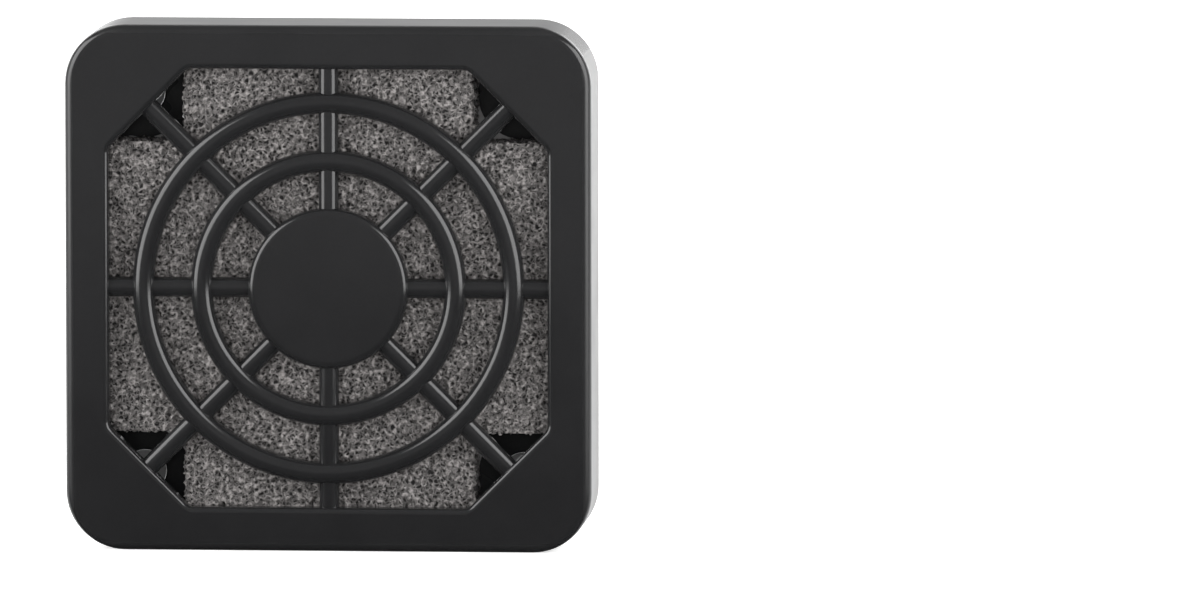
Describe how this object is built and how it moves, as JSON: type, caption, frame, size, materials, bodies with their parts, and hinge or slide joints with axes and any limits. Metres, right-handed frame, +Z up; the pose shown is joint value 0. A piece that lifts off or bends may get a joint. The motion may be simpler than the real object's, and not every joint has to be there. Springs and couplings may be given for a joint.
{
  "type": "fan filter unit",
  "caption": "Square clip-on dust filter for a small axial fan: ring-and-spoke guard base, foam pad and clip-on grille cover.",
  "frame": {"origin": "centre of the screw hole pattern, in the plane of the rear boss faces that rest on the fan", "axes": "+Y along the fan's axis towards the fan, so the cover faces -Y; +Z up, +X to the right seen from the front"},
  "size_m": [0.0444, 0.0085, 0.0444],
  "materials": {
    "base_plastic": "satin black",
    "open_cell_foam": "open-cell polyurethane foam",
    "cover_plastic": "satin black"
  },
  "bodies": {
    "base": {"guard_base": "base_plastic"},
    "media": {"filter_media": "open_cell_foam"},
    "cover": {"snap_cover": "cover_plastic"}
  },
  "joints": [
    {"name": "cover_pull_off", "type": "slide", "parent": "base", "child": "cover", "axis": [0, -1, 0], "range_m": [0, 0.024]},
    {"name": "media_lift_out", "type": "slide", "parent": "base", "child": "media", "axis": [0, -1, 0], "range_m": [0, 0.012]}
  ],
  "couplings": [
    {"joint": "media_lift_out", "follows": "cover_pull_off", "ratio": 0.5}
  ]
}
